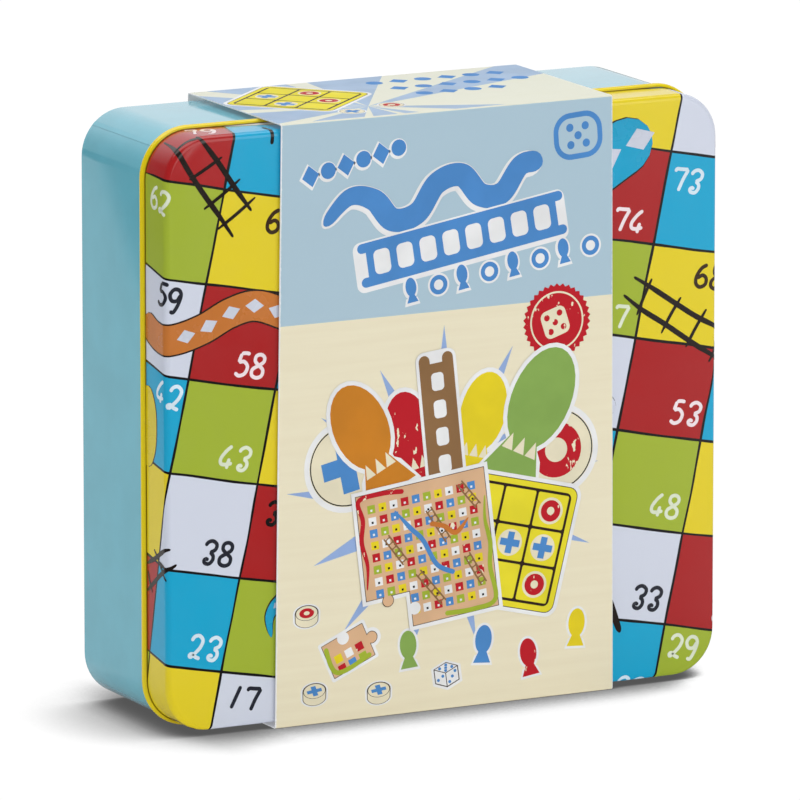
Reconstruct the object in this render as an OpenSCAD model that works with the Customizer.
// Snakes and ladders game set in a square slip-lid tin, standing on one edge, with a card sleeve round it.
// Millimetres. +Z is up, the lid faces -Y, and the origin lies on the table under the middle of the sleeve.

/* [Tin] */
// Width of the tin across its walls
tin_w = 200; // [170:1:230]
// Height of the tin across its walls, as it stands on its edge
tin_h = 193.5; // [170:0.5:220]
// Depth of the closed tin, from the back hem to the lid's face
tin_d = 62; // [54:0.5:72]
// Corner radius of the tin's outline
tin_corner_r = 15; // [13:0.5:18]
// Thickness of the tinplate
sheet_t = 0.3; // [0.25:0.01:0.35]
// Radius of the hem rolled in along the body's back edge
hem_r = 1; // [0.8:0.05:1.1]
// How far the neck that stands inside the lid ends short of the lid's face
neck_short = 2; // [1.5:0.1:5]
// Radius of the lip rolled in along the neck's edge
lip_r = 0.7; // [0.6:0.05:0.8]
// Width of the lapped seam that closes the body's wall
seam_w = 1.6; // [1:0.1:3]
// How far the lapped seam stands out of the wall
seam_proud = 0.12; // [0.08:0.01:0.2]

/* [Base plate] */
// Depth of the collar that stiffens the base plate inside the wall
collar_d = 4; // [3:0.5:6]
// Width of the flat border round the base plate's pressed panel
border_w = 9; // [7:0.5:11]
// How far the pressed panel is set towards the back
press_d = 0.8; // [0.5:0.1:1.2]

/* [Lid] */
// Depth of the lid, from the body's shoulder to the lid's face
lid_d = 17.5; // [16:0.5:22]
// Gap between the neck and the bead's inner side
bead_fit = 0.15; // [0.1:0.01:0.3]
// Gap between the bead and the body's shoulder
bead_gap = 0.2; // [0.15:0.05:0.4]
// Radius of the bead rolled along the skirt's edge
bead_r = 1.4; // [1.2:0.05:1.5]
// How far the bead stands out of the skirt
bead_proud = 1.25; // [1:0.05:1.4]
// Radius of the fold between the lid's face and its skirt
fold_r = 2; // [1.5:0.1:3]

/* [Card sleeve] */
// Width of the sleeve along the tin
sleeve_w = 121.5; // [100:0.5:140]
// Thickness of the card
card_t = 0.35; // [0.3:0.05:0.5]
// Radius of the sleeve's creases, outside
crease_r = 0.8; // [0.7:0.05:1.2]
// Play of the sleeve above the bead, which rests on the sleeve's bottom panel
sleeve_play = 0.3; // [0.3:0.1:2]
// Gap between the lid's face and the sleeve's front panel
front_gap = 0.95; // [0.9:0.05:2]
// Gap between the tin's back and the sleeve's back panel
back_gap = 3.75; // [1:0.05:5]
// Height of the flap that is glued inside the back panel
flap_h = 14; // [10:0.5:25]

/* [Inner tray] */
// Room between the tray and the lid's face
headroom = 4.98; // [3:0.02:8]
// Width of the tray's rim at the sides of its recess
tray_rim_w = 4.75; // [4:0.05:8]
// Width of the strip beside the pile of board pieces, for the counters and the die
strip_w = 56; // [40:1:62]
// Thickness of the formed plastic sheet
tray_t = 0.5; // [0.4:0.05:0.6]
// Gap between the tray and the neck's lip
tray_fit = 0.4; // [0.3:0.05:1]
// Depth of the skirt turned back round the tray's edge
tray_skirt_d = 8; // [5:0.5:12]
// Gap round each thing in its pocket
pocket_gap = 0.5; // [0.4:0.05:0.8]
// Least width of the flat lands between pockets
land_w = 3; // [2:0.5:4]
// Corner radius of the pockets
pocket_corner_r = 0.7; // [0.5:0.05:0.75]

/* [Game board] */
// Corner radius of the whole board
board_corner_r = 8; // [4:0.5:12]
// Radius of a jigsaw knob
knob_r = 6; // [5:0.25:7]
// How far a knob's middle lies outside its edge
knob_out = 5; // [4:0.25:6]
// Width of a knob's neck
knob_neck_w = 7; // [6:0.25:9]
// Gap between a knob and the socket that takes it
knob_fit = 0.15; // [0.1:0.05:0.3]

/* [Tic-tac-toe board] */
// Thickness of the tic-tac-toe board
ttt_t = 4; // [3:0.25:4.5]
// Corner radius of the tic-tac-toe board
ttt_corner_r = 16; // [10:0.5:20]
// Distance from the board's edge to its ruled border
ttt_margin = 7; // [5:0.5:12]
// Width of the ruled grooves
groove_w = 1.4; // [1:0.1:2]
// Depth of the ruled grooves
groove_d = 0.4; // [0.2:0.05:0.8]

/* [Counters] */
// Radius of a counter
counter_r = 16; // [14:0.5:17]
// Thickness of a counter
counter_t = 6; // [4:0.25:7]
// Chamfer round a counter's faces
counter_chamfer = 0.8; // [0.4:0.1:1.2]
// Outer radius of the ring on a noughts counter, and reach of the cross on a crosses counter
mark_r = 10; // [8:0.5:11]
// Width of the stroke of the ring and of the cross
mark_w = 4; // [3:0.25:5]
// Depth to which the ring and the cross are sunk
mark_d = 0.4; // [0.2:0.05:0.8]

/* [Pawns] */
// Height of a pawn
pawn_h = 42; // [36:0.5:46]
// Radius of a pawn's foot
pawn_foot_r = 10; // [9:0.25:11]
// Height of the foot's straight rim
pawn_rim_h = 2.4; // [1.5:0.1:3]
// Radius of the waist between the foot and the bulb
pawn_waist_r = 4; // [3:0.25:5]
// Radius of the bulb
pawn_bulb_r = 8.5; // [7.5:0.25:9]
// Height of the waist above the table
pawn_waist_h = 13; // [11:0.5:15]

/* [Die] */
// Side of the die
die_w = 16; // [14:0.5:18]
// How far the ball that rounds the die's corners would stand out of its faces
die_ball_out = 3.6; // [3.4:0.1:5.5]
// Radius of a pip's dimple at the face
pip_r = 1.4; // [1:0.1:1.6]
// Depth of a pip's dimple
pip_d = 0.5; // [0.3:0.05:0.8]

/* [Rules leaflet] */
// Width of the folded leaflet
leaflet_w = 105; // [90:1:150]
// Room above the leaflet in the tray's recess
leaflet_room = 29; // [10:1:60]
// Thickness of the paper
paper_t = 0.12; // [0.1:0.01:0.16]
// Gap between two folded leaves
leaf_gap = 0.04; // [0.02:0.01:0.06]

/* [Hidden] */
$fn = 64;
// Distance that a cut runs past the solid it opens
overrun = 1;
// Gap between two things that lie on or in each other
rest_gap = 0.1;
// Gap between things piled flat on each other
stack_gap = 0.05;
// Counts of what comes in numbers
BOARD_COLS = 3;
BOARD_ROWS = 4;
COUNTERS_EACH = 5;
LEAVES = 6;
PAWN_NAMES = ["green", "yellow", "blue", "red"];
PAWN_COLOURS = ["yellowgreen", "gold", "royalblue", "crimson"];

// Distances inward from the outline to the neck's outer face and to what the neck leaves open
neck_in = 2 * bead_r - bead_proud + bead_fit;
mouth_in = neck_in + 2 * lip_r;

// Levels of the tin, from the back hem forward
shoulder_z = tin_d - lid_d;
neck_d = lid_d - neck_short;
neck_top_z = shoulder_z + neck_d;
bead_z = shoulder_z + bead_gap + bead_r;
plate_z = 2 * hem_r + stack_gap;

// Place of the tin in the sleeve
tin_mid_z = card_t + rest_gap + bead_proud + tin_h / 2;
sleeve_h = 2 * card_t + rest_gap + 2 * bead_proud + tin_h + sleeve_play;
sleeve_d = 2 * card_t + front_gap + tin_d + back_gap;
tin_back_y = sleeve_d / 2 - card_t - back_gap;

// Levels of the tray, from the lid's face back to the base plate
leaflet_t = LEAVES * paper_t + (LEAVES - 1) * leaf_gap;
tray_top_z = tin_d - sheet_t - headroom;
leaflet_z = tray_top_z - rest_gap - leaflet_t;
recess_z = leaflet_z - 2 * stack_gap - ttt_t;
tray_z = plate_z + sheet_t + stack_gap;
pile_z = tray_z + tray_t;
pile_h = recess_z - rest_gap - pile_z;
counters_h = COUNTERS_EACH * (counter_t + stack_gap);

// The recess for the tic-tac-toe board is as large as the tray's rim allows
tray_in = mouth_in + tray_fit;
recess_w = min(tin_w, tin_h) - 2 * (tray_in + tray_rim_w);
recess_edge = recess_w / 2 - land_w;
ttt_w = recess_w - 2 * pocket_gap;
leaflet_h = recess_w - leaflet_room;

// The board's pieces fill the tray's depth, and the width that the strip beside them leaves
piece_count = BOARD_COLS * BOARD_ROWS;
knob_reach = knob_out + knob_r;
pile_w = 2 * recess_edge - land_w - strip_w;
piece_w = pile_w - knob_reach - 2 * pocket_gap;
board_w = BOARD_COLS * piece_w;
piece_h = board_w / BOARD_ROWS;
piece_t = pile_h / piece_count - stack_gap;

// Pockets under the recess, set out from its upper left
pile_size = [pile_w, piece_h + knob_reach + 2 * pocket_gap];
pile_mid = [-recess_edge + pile_size[0] / 2, recess_edge - pile_size[1] / 2];
pile_right = pile_mid[0] + pile_size[0] / 2;
pile_low = pile_mid[1] - pile_size[1] / 2;
counter_hole_r = counter_r + pocket_gap;
right_mid_x = (pile_right + recess_edge) / 2;
noughts_mid = [right_mid_x, recess_edge - counter_hole_r];
crosses_mid = [right_mid_x, noughts_mid[1] - 2 * counter_hole_r - land_w];
die_hole_w = die_w + 2 * pocket_gap;
die_mid = [right_mid_x, crosses_mid[1] - counter_hole_r - land_w - die_hole_w / 2];
pawn_hole = [2 * pawn_foot_r + 2 * pocket_gap, pawn_h + 2 * pocket_gap];
pawn_pitch = pawn_hole[0] + land_w;
pawn_mid_y = min(pile_low, die_mid[1] - die_hole_w / 2) - land_w - pawn_hole[1] / 2;
die_hole_d = die_w + 2 * stack_gap;
pawn_hole_d = 2 * pawn_foot_r + 2 * stack_gap;

// Shape of a pawn: steps along each curve, and how the bulb's widest level shares its height
PAWN_STEPS = 10;
bulb_level_share = 0.52;

// Places of a die's pips on its faces, in shares of half its side
pip_share = 0.5;
PIP_FACES = [
    [[0, 0]],
    [[-1, -1], [1, 1]],
    [[-1, -1], [0, 0], [1, 1]],
    [[-1, -1], [-1, 1], [1, -1], [1, 1]],
    [[-1, -1], [-1, 1], [0, 0], [1, -1], [1, 1]],
    [[-1, -1], [-1, 0], [-1, 1], [1, -1], [1, 0], [1, 1]],
];
FACE_TURNS = [[0, 0, 0], [90, 0, 0], [0, 90, 0], [0, -90, 0], [-90, 0, 0], [180, 0, 0]];

// Rectangle with round corners, about the origin
module rounded(w, h, r) {
    square([w - 2 * r, h], center = true);
    square([w, h - 2 * r], center = true);
    for (x = [-1, 1], y = [-1, 1])
        translate([x * (w / 2 - r), y * (h / 2 - r)]) circle(r);
}

// The tin's outline, drawn in by a distance
module outline(inset) {
    rounded(tin_w - 2 * inset, tin_h - 2 * inset, tin_corner_r - inset);
}

// A cross-section of rolled tinplate
module curl(r) {
    difference() {
        circle(r);
        circle(r - sheet_t);
    }
}

// Carries a cross-section round the outline: its x runs outward from the wall, its y forward
module round_outline() {
    for (side = [0:3]) {
        upright = side % 2 == 0;
        reach = (upright ? tin_w : tin_h) / 2;
        straight = (upright ? tin_h : tin_w) - 2 * tin_corner_r;
        rotate([0, 0, 90 * side]) {
            rotate([90, 0, 0])
                linear_extrude(straight, center = true)
                    translate([reach, 0]) children();
            translate([reach - tin_corner_r, straight / 2, 0])
                rotate_extrude(angle = 90)
                    translate([tin_corner_r, 0]) children();
        }
    }
}

// The tin's own frame: x to the right, y up, z forward from the back hem
module in_tin() {
    translate([0, tin_back_y, tin_mid_z]) rotate([90, 0, 0]) children();
}

module tin_body() {
    color("lightskyblue") in_tin() {
        round_outline() {
            translate([-hem_r, hem_r]) curl(hem_r);
            translate([-sheet_t, hem_r]) square([sheet_t, shoulder_z - hem_r]);
            translate([-neck_in - sheet_t, shoulder_z - sheet_t]) square([neck_in + sheet_t, sheet_t]);
            translate([-neck_in - sheet_t, shoulder_z - sheet_t])
                square([sheet_t, neck_d + sheet_t - lip_r]);
            translate([-neck_in - lip_r, neck_top_z - lip_r]) curl(lip_r);
        }
        side_seam();
    }
}

// The lapped seam runs forward along the middle of the upper left corner
module side_seam() {
    seam_turn = seam_w / tin_corner_r * 180 / PI;
    translate([tin_corner_r - tin_w / 2, tin_h / 2 - tin_corner_r, hem_r])
        rotate([0, 0, 135 - seam_turn / 2])
            rotate_extrude(angle = seam_turn)
                translate([tin_corner_r - sheet_t, 0])
                    square([sheet_t + seam_proud, shoulder_z - hem_r]);
}

module tin_base_plate() {
    wall_in = sheet_t + stack_gap;
    color("lightsteelblue") in_tin() {
        translate([0, 0, plate_z]) {
            linear_extrude(sheet_t) difference() {
                outline(wall_in);
                outline(border_w);
            }
            linear_extrude(collar_d) difference() {
                outline(wall_in);
                outline(wall_in + sheet_t);
            }
        }
        translate([0, 0, plate_z - press_d]) {
            linear_extrude(sheet_t) outline(border_w - sheet_t);
            linear_extrude(press_d + sheet_t) difference() {
                outline(border_w - sheet_t);
                outline(border_w);
            }
        }
    }
}

module tin_lid() {
    color("yellowgreen") in_tin() {
        round_outline() {
            translate([bead_proud - bead_r, bead_z]) curl(bead_r);
            translate([-sheet_t, bead_z + bead_r - sheet_t])
                square([sheet_t, tin_d - fold_r - bead_z - bead_r + sheet_t]);
            translate([-fold_r, tin_d - fold_r]) intersection() {
                curl(fold_r);
                square(fold_r);
            }
        }
        translate([0, 0, tin_d - sheet_t]) linear_extrude(sheet_t) outline(fold_r);
    }
}

module card_sleeve() {
    inner_d = sleeve_d - 2 * card_t;
    inner_h = sleeve_h - 2 * card_t;
    color("wheat") translate([-sleeve_w / 2, 0, sleeve_h / 2]) rotate([90, 0, 90])
        linear_extrude(sleeve_w) {
            difference() {
                rounded(sleeve_d, sleeve_h, crease_r);
                rounded(inner_d, inner_h, crease_r - card_t);
            }
            translate([inner_d / 2 - card_t, -inner_h / 2]) square([card_t, flap_h]);
        }
}

// The hollows of the tray, or with grow the shell round them
module pockets(grow, past) {
    hollow(recess_z, tray_top_z + past, grow) rounded_pocket([recess_w, recess_w], ttt_corner_r, grow);
    hollow(pile_z, recess_z + past, grow)
        translate(pile_mid) rounded_pocket(pile_size, pocket_corner_r, grow);
    for (mid = [noughts_mid, crosses_mid])
        hollow(recess_z - counters_h - stack_gap, recess_z + past, grow)
            translate(mid) circle(counter_hole_r + grow);
    hollow(recess_z - die_hole_d, recess_z + past, grow)
        translate(die_mid) rounded_pocket([die_hole_w, die_hole_w], pocket_corner_r, grow);
    for (i = [0:len(PAWN_NAMES) - 1])
        hollow(recess_z - pawn_hole_d, recess_z + past, grow)
            translate([pawn_x(i), pawn_mid_y]) rounded_pocket(pawn_hole, pocket_corner_r, grow);
}

module hollow(low, high, grow) {
    translate([0, 0, low - grow]) linear_extrude(high - low + grow) children();
}

module rounded_pocket(size, r, grow) {
    rounded(size[0] + 2 * grow, size[1] + 2 * grow, r + grow);
}

function pawn_x(i) = (i - (len(PAWN_NAMES) - 1) / 2) * pawn_pitch;

module inner_tray() {
    color("whitesmoke") in_tin() difference() {
        union() {
            translate([0, 0, tray_top_z - tray_t]) linear_extrude(tray_t) outline(tray_in);
            translate([0, 0, tray_top_z - tray_skirt_d]) linear_extrude(tray_skirt_d) difference() {
                outline(tray_in);
                outline(tray_in + tray_t);
            }
            pockets(tray_t, 0);
        }
        pockets(0, overrun);
    }
}

// A jigsaw knob on an edge that faces along +x, or with fit the socket for it
module knob(fit) {
    translate([knob_out, 0]) circle(knob_r + fit);
    translate([-overrun, -knob_neck_w / 2 - fit]) square([knob_out + overrun, knob_neck_w + 2 * fit]);
}

// One piece of the board, seen from its printed side, about its own middle.
// Knobs point to the left and down, and sockets open to the right and up.
module board_piece_shape(col, row) {
    intersection() {
        translate([((BOARD_COLS - 1) / 2 - col) * piece_w, (row - (BOARD_ROWS - 1) / 2) * piece_h])
            rounded(board_w, board_w, board_corner_r);
        difference() {
            union() {
                square([piece_w, piece_h], center = true);
                if (col > 0) translate([-piece_w / 2, 0]) rotate(180) knob(0);
                if (row < BOARD_ROWS - 1) translate([0, -piece_h / 2]) rotate(-90) knob(0);
            }
            if (col < BOARD_COLS - 1) translate([piece_w / 2, 0]) rotate(180) knob(knob_fit);
            if (row > 0) translate([0, piece_h / 2]) rotate(-90) knob(knob_fit);
        }
    }
}

// The pieces lie in one pile, turned half round, so that each stands on a straight edge
module board_piece(number) {
    level = pile_z + stack_gap + (number - 1) * (piece_t + stack_gap);
    middle = [
        pile_mid[0] - pile_size[0] / 2 + pocket_gap + piece_w / 2,
        pile_low + rest_gap + piece_h / 2,
    ];
    color("burlywood") in_tin() translate([middle[0], middle[1], level]) rotate(180)
        linear_extrude(piece_t)
            board_piece_shape((number - 1) % BOARD_COLS, floor((number - 1) / BOARD_COLS));
}

module tic_tac_toe_board() {
    ruled_w = ttt_w - 2 * ttt_margin;
    inner_w = ruled_w - 2 * groove_w;
    cell = ruled_w / 3;
    color("gold") in_tin()
        translate([0, -pocket_gap + rest_gap, recess_z + stack_gap]) difference() {
            linear_extrude(ttt_t) rounded(ttt_w, ttt_w, ttt_corner_r);
            translate([0, 0, ttt_t - groove_d]) linear_extrude(groove_d + overrun) {
                difference() {
                    rounded(ruled_w, ruled_w, ttt_corner_r - ttt_margin);
                    rounded(inner_w, inner_w, ttt_corner_r - ttt_margin - groove_w);
                }
                for (side = [-1, 1]) {
                    translate([side * cell / 2, 0]) square([groove_w, ruled_w - groove_w], center = true);
                    translate([0, side * cell / 2]) square([ruled_w - groove_w, groove_w], center = true);
                }
            }
        }
}

// A wooden disc with chamfered edges; what is drawn with it is sunk into its face
module counter(mid, number) {
    level = recess_z - counters_h + (number - 1) * (counter_t + stack_gap);
    in_tin() translate([mid[0], mid[1] - pocket_gap + rest_gap, level]) difference() {
        rotate_extrude() difference() {
            square([counter_r, counter_t]);
            for (y = [0, counter_t])
                translate([counter_r, y]) rotate(45)
                    square(counter_chamfer * sqrt(2), center = true);
        }
        translate([0, 0, counter_t - mark_d]) linear_extrude(mark_d + overrun) children();
    }
}

module noughts_counter(number) {
    color("firebrick") counter(noughts_mid, number) difference() {
        circle(mark_r);
        circle(mark_r - mark_w);
    }
}

module crosses_counter(number) {
    color("steelblue") counter(crosses_mid, number)
        for (turn = [45, 135]) rotate(turn) square([2 * mark_r, mark_w], center = true);
}

// Half of a pawn's section: a straight rim, a hollow flare up to the waist, and an egg-shaped bulb
function pawn_outline() =
    let (
        bulb_z = pawn_waist_h + (pawn_h - pawn_waist_h) * bulb_level_share,
        waist_turn = acos(pawn_waist_r / pawn_bulb_r),
        low_reach = (bulb_z - pawn_waist_h) / sin(waist_turn)
    )
    concat(
        [[0, 0], [pawn_foot_r, 0]],
        [for (i = [0:PAWN_STEPS]) let (a = 90 * i / PAWN_STEPS) [
            pawn_foot_r - (pawn_foot_r - pawn_waist_r) * sin(a),
            pawn_waist_h - (pawn_waist_h - pawn_rim_h) * cos(a),
        ]],
        [for (i = [1:PAWN_STEPS]) let (a = waist_turn * (i / PAWN_STEPS - 1)) [
            pawn_bulb_r * cos(a),
            bulb_z + low_reach * sin(a),
        ]],
        [for (i = [1:PAWN_STEPS]) let (a = 90 * i / PAWN_STEPS) [
            pawn_bulb_r * cos(a),
            bulb_z + (pawn_h - bulb_z) * sin(a),
        ]]
    );

// Each pawn stands on its foot on the lower wall of its pocket
module pawn(number) {
    in_tin() translate([
        pawn_x(number),
        pawn_mid_y - pawn_hole[1] / 2 + rest_gap,
        recess_z - pawn_hole_d + stack_gap + pawn_foot_r,
    ]) rotate([-90, 0, 0]) rotate_extrude() polygon(pawn_outline());
}

module die() {
    dimple_r = (pip_r * pip_r + pip_d * pip_d) / (2 * pip_d);
    ball_r = die_w / 2 + die_ball_out;
    color("ivory") in_tin()
        translate([
            die_mid[0],
            die_mid[1] - pocket_gap + rest_gap,
            recess_z - die_hole_d + stack_gap + die_w / 2,
        ]) difference() {
            intersection() {
                cube(die_w, center = true);
                sphere(ball_r);
            }
            for (face = [0:len(PIP_FACES) - 1], pip = PIP_FACES[face])
                rotate(FACE_TURNS[face])
                    translate([
                        pip[0] * pip_share * die_w / 2,
                        pip[1] * pip_share * die_w / 2,
                        die_w / 2 + dimple_r - pip_d,
                    ]) sphere(dimple_r);
        }
}

// A leaflet folded to and fro, standing on the lower wall of the recess
module rules_leaflet() {
    color("white") in_tin()
        translate([-leaflet_w / 2, rest_gap - recess_w / 2, leaflet_z])
            for (leaf = [0:LEAVES - 1]) translate([0, 0, leaf * (paper_t + leaf_gap)]) {
                cube([leaflet_w, leaflet_h, paper_t]);
                if (leaf > 0)
                    translate([leaf % 2 == 0 ? 0 : leaflet_w - paper_t, 0, -leaf_gap])
                        cube([paper_t, leaflet_h, leaf_gap]);
            }
}

tin_body();
tin_base_plate();
tin_lid();
card_sleeve();
inner_tray();
for (i = [1:piece_count])
    board_piece(i);
tic_tac_toe_board();
for (i = [1:COUNTERS_EACH]) {
    noughts_counter(i);
    crosses_counter(i);
}
for (i = [0:len(PAWN_NAMES) - 1])
    color(PAWN_COLOURS[i]) pawn(i);
die();
rules_leaflet();
